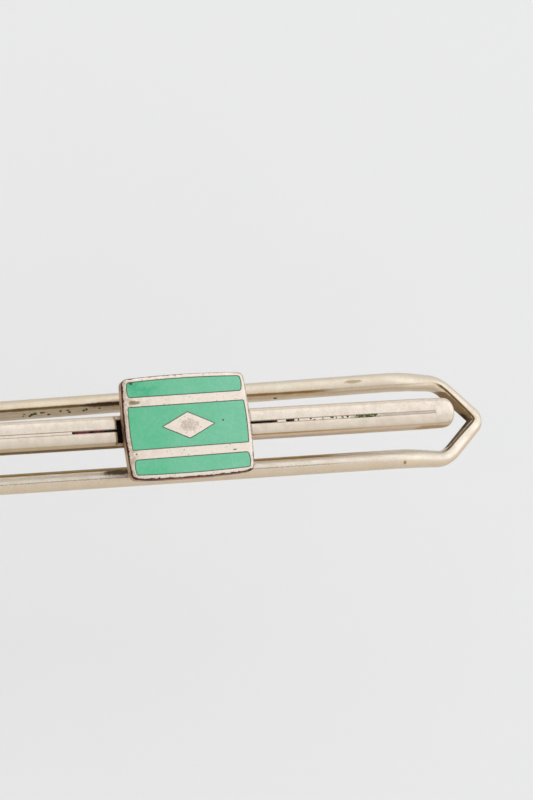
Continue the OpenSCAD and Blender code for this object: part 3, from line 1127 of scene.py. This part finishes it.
@dataclass
class FrontBar:
    """The rolled front bar: two lobes with a seam between them, open behind the plaque."""

    origin: Origin
    length: float = 57.0
    half_width: float = 1.54
    half_height: float = 0.8
    middle_depth: float = 1.55
    end_radius: float = 1.9
    end_drop: float = 0.3
    groove_reach: float = 26.2
    slit_reach: float = 11.4
    slit_gap: float = 0.23
    groove_half: float = 0.15
    groove_depth: float = 0.10
    bridge: tuple[float, float] = (9.4, 10.2)
    slit_end: float = 11.15
    shallow_from: float = 20.0
    relief_left: float = -6.95
    relief_right: float = 6.4
    relief_height: float = 0.11
    trough_half: float = 1.09
    trough_floor: float = -0.5
    seat_end: float = -19.2
    seat_depth: float = 0.1
    lobe_crest: float = 0.72
    lobe_foot: float = -0.12
    lobe_power: float = 0.85
    slit_depth: float = 0.3
    crease_angle: float = 56.25

    def half_section(self, x: float, cut: bool) -> list[tuple[float, float, dict[str, float]]]:
        """Draw half of the section at one place along the bar.

        Args:
            x: Place along the bar.
            cut: Whether the lobes are cut away there.

        Returns:
            Points from the middle of the groove round to the middle of the back, each
            its place across, its height and its named values.
        """
        reach = abs(x)
        grooved = 1 - smooth(self.groove_reach - 0.1, self.groove_reach + 0.05, reach)
        opened = 1 - smooth(self.slit_reach - 0.12, self.slit_reach, reach)
        if x > 0:
            opened = 1 - smooth(self.bridge[0] - 0.15, self.bridge[0], x)
            opened += smooth(self.bridge[1], self.bridge[1] + 0.08, x)
            opened -= smooth(self.slit_end - 0.08, self.slit_end, x)
        gap = 0.02 + (self.slit_gap - 0.02) * opened
        crest = self.half_height
        edge = crest - 0.04 * grooved
        sunk = self.groove_depth * (1 - 0.5 * smooth(self.shallow_from, self.shallow_from + 0.6, x))
        bed = crest - sunk * grooved
        floor = bed - self.slit_depth * opened * grooved
        past_cut = max(self.relief_left - x, x - self.relief_right)
        near_cut = 1 - smooth(0.0, 0.3, past_cut)
        trench = {"bed": grooved}
        pit = {"pit": opened * grooved, "bed": grooved}
        side = self.groove_half
        half: list[tuple[float, float, dict[str, float]]] = [
            (0.0, floor, pit), (gap / 2, floor, pit), (gap / 2, bed, dict(trench, pit=0.7 * opened))]
        wall = {"seam": grooved, "bed": grooved}
        half += [(side - 0.045, bed, trench), (side - 0.02, bed - 0.02 * grooved, wall),
                 (side, bed, wall), (side + 0.02, edge, {"seam": 0.5 * grooved}),
                 (side + 0.07, edge + 0.012 * grooved, {})]
        for k in range(1, 8):
            s = k / 8
            y = side + 0.07 + (self.lobe_crest - side - 0.07) * s
            half.append((y, crest - 0.038 * grooved * (1 - s) ** 2, {}))
        for k in range(25):
            degrees = 90 - 3.75 * k
            turn = math.radians(degrees)
            wide, foot = self.half_width - self.lobe_crest, self.lobe_foot
            y = self.lobe_crest + wide * math.cos(turn) ** self.lobe_power
            z = foot + (crest - foot) * math.sin(turn) ** self.lobe_power
            creased = abs(degrees - self.crease_angle) < 4
            dent = 0.02 * creased
            half.append((y - dent * math.cos(turn), z - dent * math.sin(turn), {
                "flank": smooth(70, 55, degrees), "hem": smooth(38, 28, degrees),
                "crease": float(creased)}))
        for k in range(1, 5):
            half.append((self.half_width, -0.12 - 0.38 * k / 4, {"flank": 1.0, "hem": 1.0 - k / 4}))
        for k in range(1, 7):
            turn = math.radians(15 * k)
            half.append((self.half_width - 0.3 * (1 - math.cos(turn)),
                         -0.5 - 0.3 * math.sin(turn), {"flank": 1.0 - k / 6}))
        half += [(self.half_width - 0.3 - 0.31 * k, -self.half_height, {}) for k in range(1, 4)]
        half.append((0.0, -self.half_height, {}))
        if cut:
            half = [self._cut_point(k, half) for k in range(len(half))]
        out = []
        for y, z, values in half:
            if x < self.seat_end:
                z = max(z, -self.half_height + self.seat_depth)
            if not cut and z > 0.3:
                z -= 0.10 * near_cut ** 2
                values = dict(values, cut=near_cut)
            out.append((y, z, values))
        return out

    def _cut_point(self, k: int, half: list) -> tuple[float, float, dict[str, float]]:
        """Lower one point of the section to where the lobes were cut away."""
        y, z, values = half[k]
        if z < self.relief_height:
            return y, z, values
        if half[k + 1][0] < self.trough_half:
            return y, self.trough_floor, {"pit": 1.0}
        if y < self.trough_half:
            return self.trough_half, self.trough_floor, {"pit": 1.0}
        return y, self.relief_height, dict(values, pit=1.0 - values.get("flank", 0.0))

    def section(self, piece: Piece, x: float, cut: bool) -> list[int]:
        """Add one whole ring of the bar's skin.

        Args:
            piece: The piece to add it to.
            x: Place along the bar.
            cut: Whether the lobes are cut away there.

        Returns:
            The ring's point numbers.
        """
        half = self.half_section(x, cut)
        ring = half + [(-y, z, v) for y, z, v in reversed(half[1:-1])]
        past = abs(x) - (self.length / 2 - self.end_radius)
        limit = math.sqrt(max(0.0, self.end_radius ** 2 - max(0.0, past) ** 2))
        numbers = []
        for y, z, values in ring:
            away = Vector((y, z + self.end_drop))
            if past > -0.6 and away.length > 0:
                sharp = 9.0
                size = (away.length ** -sharp + max(limit, 1e-3) ** -sharp) ** (-1 / sharp)
                away *= size / away.length
            high = away.y - self.end_drop + ripple(x, y, 0.014)
            numbers.append(piece.add((x, away.x, high - self.middle_depth), **values))
        return numbers

    def stations(self) -> list[tuple[float, bool]]:
        """List the places of the rings along the bar, and whether each is cut away."""
        half = [7.6 + 0.5 * k for k in range(7)]
        for edge in (self.slit_reach, self.slit_end, *self.bridge):
            half += [edge - 0.16 + 0.04 * k for k in range(7)]
        half += [12.0 + 0.7 * k for k in range(20)]
        half += [self.groove_reach - 0.15 + 0.05 * k for k in range(6)]
        start = self.length / 2 - self.end_radius
        half += [start + self.end_radius * math.sin(math.radians(3.5 * k)) for k in range(1, 26)]
        places = [(way * x, False) for x in half for way in (1, -1)]
        hair = 1e-3
        for cut_end, way in ((self.relief_left, -1), (self.relief_right, 1)):
            places += [(cut_end - way * d, True) for d in (hair, 0.6, 3.0)]
            places += [(cut_end + way * d, False) for d in (0.0, 0.04, 0.1, 0.17, 0.24, 0.31)]
        places += [(self.seat_end - hair, False), (self.seat_end + hair, False)]
        return sorted(set(places))

    def build(self, finish: bpy.types.Material) -> bpy.types.Object:
        """Build the bar as one closed skin.

        Args:
            finish: The bar's material.

        Returns:
            The bar.
        """
        piece = Piece("rolled_bar", self.origin)
        rings = [self.section(piece, x, cut) for x, cut in self.stations()]
        piece.skin(rings)
        tip = self.length / 2
        for ring, x in ((rings[0], -tip), (rings[-1], tip)):
            piece.cap(ring, (x, 0.0, -self.middle_depth - self.end_drop))
        bar = piece.build(38, finish)
        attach(bar, Body.BAR.value)
        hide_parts("front_bar")
        return bar


# ------------------------------------------------------------------------ the plaque


@dataclass
class Field:
    """One enamel field: its outline, the hole in it, and what it stands for."""

    name: str
    node: str
    outline: Outline
    hole: Outline = field(default_factory=list)

    def holds(self, point: Vector) -> bool:
        """Tell whether a point lies in the field."""
        return is_inside(point, self.outline) and not (self.hole and is_inside(point, self.hole))

    def rims(self) -> list[Outline]:
        """List the outlines that bound the field."""
        return [self.outline, self.hole] if self.hole else [self.outline]

    def offsets(self, distance: float) -> list[Outline]:
        """Move the field's rims into the enamel by a distance, or out of it if negative."""
        moved = [inset(self.outline, distance)]
        return moved + [inset(self.hole, -distance)] if self.hole else moved


@dataclass
class Plaque:
    """The plaque: a bowed plate with three sunk fields of enamel and a metal diamond."""

    origin: Origin
    width: float = 12.4
    height: float = 9.8
    thickness: float = 1.44
    bow: float = 0.16
    corner: float = 0.75
    turn: float = 0.7
    enamel_width: float = 11.5
    enamel_depth: float = 0.45
    centre_height: float = 4.18
    strip: float = 0.92
    band_height: float = 1.5
    diamond_width: float = 5.26
    diamond_height: float = 2.56

    def fields(self) -> list[Field]:
        """Draw the three enamel fields."""
        band = self.centre_height / 2 + self.strip + self.band_height / 2
        top = bowed_outline(self.enamel_width, self.band_height, (0.06, 0.14, 0.06, 0), 0.35)
        low = bowed_outline(self.enamel_width, self.band_height, (0.06, 0, 0.06, 0.1), 0.35)
        mid = bowed_outline(self.enamel_width + 0.2, self.centre_height, (0.08, 0, 0.08, 0), 0.15)
        tips = [Vector((self.diamond_width / 2, 0)), Vector((0, self.diamond_height / 2)),
                Vector((-self.diamond_width / 2, 0)), Vector((0, -self.diamond_height / 2))]
        diamond = [a.lerp(b, k / 12) for a, b in zip(tips, tips[1:] + tips[:1]) for k in range(12)]
        return [
            Field("enamel_top", "enamel_top_band", [p + Vector((0, band)) for p in top]),
            Field("enamel_centre", "enamel_centre_field", mid, diamond),
            Field("enamel_bottom", "enamel_bottom_band", [p - Vector((0, band)) for p in low]),
        ]

    def turned(self, point: Vector, z: float) -> tuple[float, float, float]:
        """Turn a flat point by the plaque's own slant and give it a height."""
        flat = Matrix.Rotation(math.radians(self.turn), 2) @ point
        return flat.x, flat.y, z

    def build_plate(self, fields: Sequence[Field], finish: bpy.types.Material) -> bpy.types.Object:
        """Build the metal plate with its sunk fields.

        Args:
            fields: The enamel fields.
            finish: The plate's material.

        Returns:
            The plate.
        """
        piece = Piece("plaque", self.origin)
        outline = bowed_outline(self.width, self.height, [self.bow] * 4, self.corner)
        edge = [(0.24, 0.0), (0.18, -0.010), (0.12, -0.033), (0.07, -0.07), (0.03, -0.125),
                (0.008, -0.19), (0.0, -0.27), (0.0, -0.6), (0.0, -0.9), (0.0, -1.22),
                (0.03, -1.33), (0.09, -1.41), (0.18, -self.thickness)]
        rings = []
        for distance, z in edge:
            rings.append([
                piece.add(self.turned(p, z + (ripple(p.x * 3, p.y * 2, 0.012) if z else 0.0)),
                          ledge=1.0) for p in inset(outline, distance)])
        piece.skin(rings)
        back = Sheet.fill([inset(outline, edge[-1][0])], [],
                          lambda p: is_inside(p, inset(outline, edge[-1][0])), 1.2)
        self._lay(piece, back, -self.thickness, ledge=lambda p: 1.0)
        rim = inset(outline, edge[0][0])
        rims = [loop for f in fields for loop in f.rims()]
        guides = [loop for f in fields for loop in f.offsets(-0.07)]
        face = Sheet.fill([rim, *rims], guides, lambda p: is_inside(p, rim)
                          and not any(f.holds(p) for f in fields), 0.45)
        self._lay(piece, face, 0.0, ledge=lambda p: edge_distance(p, rims))
        for f in fields:
            for loop in f.rims():
                piece.skin([[piece.add(self.turned(p, z)) for p in loop]
                            for z in (0.0, -self.enamel_depth)])
            self._lay(piece, Sheet.fill(f.rims(), [], f.holds, 1.2), -self.enamel_depth)
        plate = piece.build(30, finish)
        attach(plate, Body.BAR.value)
        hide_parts("plaque_plate")
        return plate

    def _lay(self, piece: Piece, sheet: Sheet, z: float,
             **values: Callable[[Vector], float]) -> None:
        """Add a flat sheet of triangles to a piece.

        Args:
            piece: The piece to add it to.
            sheet: The triangles.
            z: Its height.
            **values: What gives each named value of a point.
        """
        numbers = [piece.add(self.turned(p, z), **{key: read(p) for key, read in values.items()})
                   for p in sheet.points]
        piece.faces += [tuple(numbers[i] for i in t) for t in sheet.triangles]

    def build_enamel(self, f: Field, finish: bpy.types.Material) -> bpy.types.Object:
        """Build one field of enamel, its surface drawn down a little at its edge.

        Args:
            f: The field.
            finish: The enamel's material.

        Returns:
            The enamel.
        """
        slack = 0.004
        shape = Field(f.name, f.node, *f.offsets(slack))
        guides = [loop for d in (0.035, 0.08, 0.16, 0.28) for loop in f.offsets(slack + d)]
        piece = Piece(f.name, self.origin)
        top = Sheet.fill(shape.rims(), guides, shape.holds, 0.4)
        numbers = []
        for p in top.points:
            away = edge_distance(p, shape.rims())
            sink = 0.028 * math.exp(-away / 0.07) + 0.004
            wave = ripple(p.x * 2, p.y * 2, 0.004) * smooth(0, 0.3, away)
            numbers.append(piece.add(self.turned(p, wave - sink), edge=away))
        piece.faces += [tuple(numbers[i] for i in t) for t in top.triangles]
        low = 0.01 - self.enamel_depth
        sink = -0.032
        for loop in shape.rims():
            piece.skin([[piece.add(self.turned(p, z)) for p in loop] for z in (sink, low)])
        self._lay(piece, Sheet.fill(shape.rims(), [], shape.holds, 1.2), low)
        enamel = piece.build(40, finish)
        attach(enamel, Body.BAR.value)
        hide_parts(f.node)
        return enamel


# -------------------------------------------------------------------------- the wire


@dataclass
class Strand:
    """One run of wire: its middle line, its radii, and which way its seam faces."""

    points: list[Vector]
    radii: list[float]
    sides: list[Vector]


def flat_to(vector: Vector, along: Vector) -> Vector:
    """Take out of a vector what runs along a direction, and make it a unit long."""
    return (vector - vector.dot(along) * along).normalized()


@dataclass
class WireSpring:
    """The one wire behind the bar: the pointed loop, two U-bends and two soldered tails."""

    origin: Origin
    wire_radius: float = 0.96
    point_radius: float = 0.8
    tail_radius: float = 0.75
    shift: float = -0.2
    bend_x: float = 27.5
    pinch_x: float = 23.8
    shoulder_x: float = 29.0
    point_x: float = 33.4
    bend_half: float = 3.47
    shoulder_half: float = 3.95
    bend_depth: float = 6.54
    pinch_depth: float = 3.65
    shoulder_depth: float = 6.1
    point_depth: float = 6.85
    tail_length: float = 8.0
    tail_y: float = 0.77
    tail_depth: float = 3.0
    nose: float = 0.3
    seam_depth: float = 0.035
    seam_turns: tuple[float, float] = (10.0, 46.0)
    seam_drift: float = 21.0

    def bend(self, side: Side) -> Vector:
        """Place a rail's bent end."""
        return Vector((-self.bend_x, self.shift + side.value * self.bend_half, -self.bend_depth))

    def pinch(self, side: Side) -> Vector:
        """Place the kink where a rail turns back from the bar."""
        half = side.value * self.shoulder_half
        return Vector((self.pinch_x, self.shift + half, -self.pinch_depth))

    def shoulder(self, side: Side) -> Vector:
        """Place the corner where a rail turns towards the point."""
        half = side.value * self.shoulder_half
        return Vector((self.shoulder_x, self.shift + half, -self.shoulder_depth))

    def tail(self, side: Side) -> Vector:
        """Place a tail's start, below the bar's seat."""
        return Vector((-self.bend_x, side.value * self.tail_y, -self.tail_depth))

    def radius_at(self, x: float) -> float:
        """Give the wire's radius, which thins from the kinks to the shoulders."""
        share = min(1.0, max(0.0, (x - self.pinch_x) / (self.shoulder_x - self.pinch_x)))
        return self.wire_radius + (self.point_radius - self.wire_radius) * share

    @staticmethod
    def corner(a: Vector, v: Vector, b: Vector, trim: float, steps: int = 14) -> list[Vector]:
        """Round the corner at v on the way from a to b."""
        p = v + trim * (a - v).normalized()
        q = v + trim * (b - v).normalized()
        return [(1 - s) ** 2 * p + 2 * s * (1 - s) * v + s * s * q
                for s in (k / steps for k in range(steps + 1))]

    @staticmethod
    def directions(path: Sequence[Vector], first: Vector, last: Vector) -> list[Vector]:
        """Find the direction at each point of a path whose end directions are known."""
        steps = [(b - a).normalized() for a, b in zip(path, path[1:])]
        inner = [(a + b).normalized() for a, b in zip(steps, steps[1:])]
        return [first.normalized(), *inner, last.normalized()]

    def loop_strand(self) -> Strand:
        """Lay the loop's middle line, from the upper rail round the point to the lower one."""
        up, low = Side.UPPER, Side.LOWER
        point = Vector((self.point_x, self.shift, -self.point_depth))
        runs = [
            [self.bend(up)],
            self.corner(self.bend(up), self.pinch(up), self.shoulder(up), 2.0),
            self.corner(self.pinch(up), self.shoulder(up), point, 1.4),
            self.corner(self.shoulder(up), point, self.shoulder(low), 1.0),
            self.corner(point, self.shoulder(low), self.pinch(low), 1.4),
            self.corner(self.shoulder(low), self.pinch(low), self.bend(low), 2.0),
            [self.bend(low)],
        ]
        path: list[Vector] = []
        for run in runs:
            if path:
                gap = run[0] - path[-1]
                count = max(1, round(gap.length / 1.2))
                path += [path[-1] + gap * k / count for k in range(1, count)]
            path += run
        along = self.directions(path, self.pinch(up) - self.bend(up), self.bend(low) - self.pinch(low))
        sides = []
        for spot, way in zip(path, along):
            front = flat_to(Vector((0, 0, 1)), way)
            share = smooth(self.shoulder_half, -self.shoulder_half, spot.y - self.shift)
            drift = smooth(-12, 18, spot.x) * smooth(28, 24, spot.x)
            high = self.seam_turns[0] + self.seam_drift * drift
            turn = math.radians(high + (self.seam_turns[1] - high) * share)
            sides.append(math.cos(turn) * front + math.sin(turn) * way.cross(front))
        return Strand(path, [self.radius_at(p.x) for p in path], sides)

    def bend_strand(self, side: Side, seam: Vector, steps: int = 40) -> Strand:
        """Lay one U-bend, from the end of its rail to the start of its tail.

        Args:
            side: Which half of the wire.
            seam: Which way the seam faces at the rail's end.
            steps: Lengths to make it of.

        Returns:
            The bend.
        """
        start, end = self.bend(side), self.tail(side)
        half = (end - start) / 2
        radius = half.length
        rail = self.pinch(side) - start
        slope = Vector((0, rail.y, rail.z)) / rail.x
        path = []
        for k in range(steps + 1):
            q = math.pi * k / steps
            path.append((start + end) / 2 - half * math.cos(q) - Vector((radius, 0, 0)) * math.sin(q)
                        - slope * radius * math.sin(q) * (1 + math.cos(q)) / 2)
        along = self.directions(path, start - self.pinch(side), Vector((1, 0, 0)))
        sides = [flat_to(seam, along[0])]
        for before, way in zip(along, along[1:]):
            sides.append(flat_to(before.rotation_difference(way) @ sides[-1], way))
        thin = self.tail_radius - self.wire_radius
        return Strand(path, [self.wire_radius + thin * k / steps for k in range(steps + 1)], sides)

    def tail_strand(self, side: Side, seam: Vector) -> Strand:
        """Lay one straight tail, which ends in a small rounded nose."""
        start = self.tail(side)
        path, radii = [], []
        body = self.tail_length - self.nose
        for k in range(9):
            path.append(start + Vector((body * k / 8, 0, 0)))
            radii.append(self.tail_radius)
        for k in range(1, 7):
            turn = math.radians(15 * k)
            path.append(start + Vector((body + self.nose * math.sin(turn), 0, 0)))
            radii.append(self.tail_radius - self.nose * (1 - math.cos(turn)))
        return Strand(path, radii, [seam] * len(path))

    def build(self, sweep: Sweep, finish: bpy.types.Material) -> list[bpy.types.Object]:
        """Build the wire as three pieces that meet face to face.

        Args:
            sweep: The node tree that sweeps a wire.
            finish: The wire's material.

        Returns:
            The loop, the bends and the tails.
        """
        loop = self.loop_strand()
        bends = [self.bend_strand(Side.UPPER, loop.sides[0]),
                 self.bend_strand(Side.LOWER, loop.sides[-1])]
        tails = [self.tail_strand(side, bend.sides[-1]) for side, bend in zip(Side, bends)]
        made = []
        for name, strands, node in (("pointed_loop", [loop], "wire_loop"),
                                    ("u_bends", bends, "spring_bends"),
                                    ("soldered_tails", tails, "wire_tails")):
            piece = sweep.run(name, self.origin, strands, self.seam_depth, finish)
            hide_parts(node)
            made.append(piece)
        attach(made[0], Body.LOOP.value)
        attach(made[2], Body.BAR.value)
        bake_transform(made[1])
        return made


# ------------------------------------------------------------------- solder and dirt


@dataclass
class TailSolder:
    """The fillet of solder in the valley between the tails and the bar's back."""

    origin: Origin
    start: float = -27.1
    end: float = -20.0
    seat: float = 2.25
    root_half: float = 0.03
    tail_y: float = 0.77
    tail_radius: float = 0.75

    def section(self, x: float) -> list[tuple[float, float]]:
        """Draw the fillet's section at one place: flat on top, hollow at its sides."""
        grow = smooth(self.start, self.start + 0.5, x) * smooth(self.end, self.end - 0.9, x)
        deep = 0.62 * (0.35 + 0.65 * grow) + ripple(x * 3, 1.0, 0.05)
        top = [(0.5 - k / 4, -self.seat) for k in range(5)]
        flanks = []
        for k in range(1, 9):
            z = -self.seat - deep * k / 9
            reach = max(0.0, self.tail_radius ** 2 - (z + self.seat + self.tail_radius) ** 2)
            flanks.append((-(self.tail_y - math.sqrt(reach)) - 0.004, z))
        low = [(side * self.root_half, -self.seat - deep) for side in (-1, 1)]
        return top + flanks + low + [(-y, z) for y, z in reversed(flanks)]

    def build(self, finish: bpy.types.Material) -> bpy.types.Object:
        """Build the fillet.

        Args:
            finish: The solder's material.

        Returns:
            The fillet.
        """
        piece = Piece("tail_fillet", self.origin)
        count = 40
        rings = []
        for k in range(count + 1):
            x = self.start + (self.end - self.start) * k / count
            rings.append([piece.add((x, y, z)) for y, z in self.section(x)])
        piece.skin(rings)
        for ring, x in ((rings[0], self.start), (rings[-1], self.end)):
            piece.cap(ring, (x, 0.0, -self.seat - 0.15))
        solder = piece.build(60, finish)
        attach(solder, Body.BAR.value)
        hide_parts("tail_solder")
        return solder


@dataclass
class Dirt:
    """Crumbs of verdigris in the bar's groove and on the upper rail."""

    origin: Origin
    spring: WireSpring
    groove_height: float = -0.845

    def groove_patch(self, start: float, end: float, half: float) -> list[tuple[float, ...]]:
        """Mark a stretch of the groove between the lobes."""
        z = self.groove_height
        return [(start, -half, z), (end, -half, z), (end, half, z), (start, half, z)]

    def rail_patch(self, start: float, end: float, low: float, high: float) -> list[Vector]:
        """Mark a stretch of the upper rail's surface.

        Args:
            start: Place along the bar where it starts.
            end: Where it ends.
            low: Angle from the front, in degrees towards the lower edge, where it starts.
            high: Angle where it ends.

        Returns:
            The patch's corners.
        """
        a, b = self.spring.bend(Side.UPPER), self.spring.pinch(Side.UPPER)
        corners = []
        for x, angle in ((start, low), (end, low), (end, high), (start, high)):
            turn = math.radians(angle)
            middle = a.lerp(b, (x - a.x) / (b.x - a.x))
            out = Vector((0, -math.sin(turn), math.cos(turn)))
            corners.append(middle + self.spring.wire_radius * out)
        return corners

    def build(self, crumbs: Crumbs, finish: bpy.types.Material) -> list[bpy.types.Object]:
        """Scatter the crumbs.

        Args:
            crumbs: The node tree that scatters them.
            finish: Their material.

        Returns:
            The crumbs, one piece for each place.
        """
        groove = [self.groove_patch(*row) for row in (
            (17.4, 20.0, 0.15), (17.8, 19.3, 0.2), (12.0, 16.8, 0.05), (11.35, 11.75, 0.09))]
        rails = [self.rail_patch(*row) for row in (
            (-10.5, -7.3, 30, 46), (-15.8, -9.0, 30, 52), (10.2, 11.0, 40, 60),
            (19.3, 19.9, 50, 66), (23.0, 23.6, 50, 66))]
        made = []
        for name, patches, density, size, seed, body in (
                ("groove_verdigris", groove, 20.0, 0.11, 4, Body.BAR),
                ("rail_verdigris", rails, 4.2, 0.15, 11, Body.LOOP)):
            piece = crumbs.run(name, self.origin, patches, density, size, seed, finish)
            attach(piece, body.value)
            made.append(piece)
        return made


# ------------------------------------------------------------------------- the stage


@dataclass
class Studio:
    """The pale floor, the soft lights and the camera."""

    origin: Origin
    distance: float = 213.5
    yaw: float = -19.58
    tilt: float = -9.33
    roll: float = -6.51
    aside: float = -7.46
    below: float = -2.39
    lens: float = 100.0
    floor_depth: float = 38.0
    floor_half: float = 3.0
    sky: float = 0.90
    sky_right: float = 0.20
    sky_up: float = 0.05

    def view(self) -> Matrix:
        """Turn the part's axes into the camera's: right, up and back."""
        flip = Matrix(((1, 0, 0), (0, -1, 0), (0, 0, -1)))
        turns = (Matrix.Rotation(math.radians(self.roll), 3, "Z")
                 @ Matrix.Rotation(math.radians(self.tilt), 3, "X")
                 @ Matrix.Rotation(math.radians(self.yaw), 3, "Y"))
        return flip @ turns @ flip

    def build_camera(self) -> None:
        """Place the long-lens camera and make it the scene's own."""
        axes = self.view()
        seen = Vector((self.aside, self.below, -self.distance))
        data = bpy.data.cameras.new("long_lens")
        data.lens = self.lens
        data.clip_start = 0.01
        data.clip_end = 20.0
        camera = show("long_lens", data)
        place = self.origin.place(-(axes.transposed() @ seen))
        camera.matrix_world = Matrix.Translation(place) @ axes.transposed().to_4x4()
        bpy.context.scene.camera = camera

    def build_floor(self, finish: bpy.types.Material) -> None:
        """Lay the floor some way below the object, so that no hard shadow falls on it."""
        mesh = bpy.data.meshes.new("floor")
        half, z = self.floor_half, -MM * self.floor_depth
        mesh.from_pydata([(-half, -half, z), (half, -half, z), (half, half, z), (-half, half, z)],
                         [], [(0, 1, 2, 3)])
        mesh.materials.append(finish)
        floor = show("floor", mesh)

    def build_lights(self) -> None:
        """Light the stage with a pale surround and two soft boxes that face the plaque."""
        world = bpy.data.worlds.new("pale_surround")
        world.use_nodes = True
        back = world.node_tree.nodes["Background"]
        back.inputs["Color"].default_value = (1.0, 1.0, 1.0, 1.0)
        w = Wires(world.node_tree)
        x, y, _ = w.split(w.node("ShaderNodeTexCoord").outputs["Generated"])
        glow = w.math("MULTIPLY_ADD", y, self.sky_up, self.sky)
        glow = w.math("MULTIPLY_ADD", x, self.sky_right, glow)
        w.put(w.most(glow, 0.25), back.inputs["Strength"])
        bpy.context.scene.world = world
        for name, place, size, power in (("upper_box", (0.1, 0.9, 0.9), 1.4, 2.2),
                                         ("right_box", (0.9, 0.1, 0.7), 0.9, 1.5)):
            data = bpy.data.lights.new(name, "AREA")
            data.size = size
            data.energy = power
            light = show(name, data)
            light.location = self.origin.centre + Vector(place)
            light.rotation_euler = (-Vector(place)).to_track_quat("-Z", "Y").to_euler()


def main() -> None:
    """Build the pieces in order and report each piece's face count."""
    logging.basicConfig(level=logging.INFO, format="%(message)s")
    bpy.context.scene.view_settings.view_transform = "Standard"
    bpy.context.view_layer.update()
    origin = Origin.from_frame()
    studio = Studio(origin)
    effects = Effects()
    sweep = Sweep()
    crumbs = Crumbs()
    made = [FrontBar(origin).build(BarPlate().make(origin, effects))]
    plaque = Plaque(origin)
    fields = plaque.fields()
    made.append(plaque.build_plate(fields, PlaquePlate().make(origin, effects)))
    enamel = JadeEnamel().make(origin, effects)
    made += [plaque.build_enamel(f, enamel) for f in fields]
    spring = WireSpring(origin)
    made += spring.build(sweep, WirePlate().make(origin, effects))
    solder = DullSolder().make(effects)
    made.append(TailSolder(origin).build(solder))
    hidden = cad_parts["plaque_solder"]
    hidden.data.materials.clear()
    hidden.data.materials.append(solder)
    made += Dirt(origin, spring).build(crumbs, Verdigris().make(effects))
    for piece in made:
        LOG.info("%s: %d faces", piece.name, len(piece.data.polygons))
    studio.build_floor(PalePaper().make(effects))
    studio.build_lights()
    studio.build_camera()


if __name__ == "__main__":
    main()
